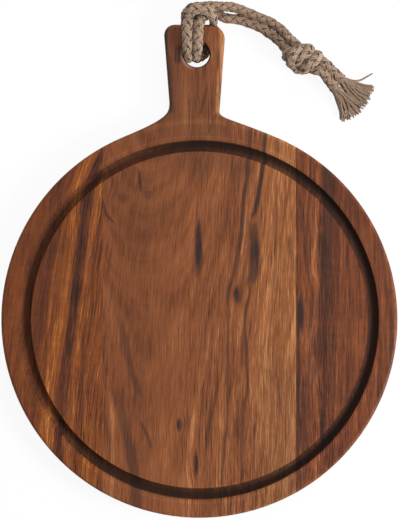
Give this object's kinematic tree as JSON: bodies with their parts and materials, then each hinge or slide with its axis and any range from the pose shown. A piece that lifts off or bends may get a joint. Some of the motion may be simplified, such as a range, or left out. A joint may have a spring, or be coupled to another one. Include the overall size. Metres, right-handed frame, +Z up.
{
  "type": "pizza serving board",
  "caption": "Round wooden pizza board with a juice groove near its rim, a flared handle and a knotted rope hanger looped through the handle's hole.",
  "frame": {"origin": "centre of the round plate's underside, on the surface that the board rests on", "axes": "+Z up out of the face with the groove, +Y from the plate's centre towards the handle's end, +X to the right of the handle as in the picture"},
  "size_m": [0.355, 0.4624, 0.0313],
  "materials": {
    "acacia_left": "oiled satin",
    "acacia_centre": "oiled satin",
    "acacia_right": "oiled satin",
    "jute": "matt plaited fibre"
  },
  "bodies": {
    "board": {"stave_left": "acacia_left", "stave_centre": "acacia_centre", "stave_right": "acacia_right", "rope_hitch": "jute"},
    "rope_tail": {"rope_leg_upper": "jute", "rope_leg_lower": "jute", "rope_knot_upper": "jute", "rope_knot_lower": "jute", "rope_end_upper": "jute", "rope_end_lower": "jute"}
  },
  "joints": [
    {"name": "rope_swing", "type": "hinge", "parent": "board", "child": "rope_tail", "pos_m": [0.027, 0.2755, 0.012], "axis": [0, 0, 1], "range_deg": [-14, 60]}
  ]
}
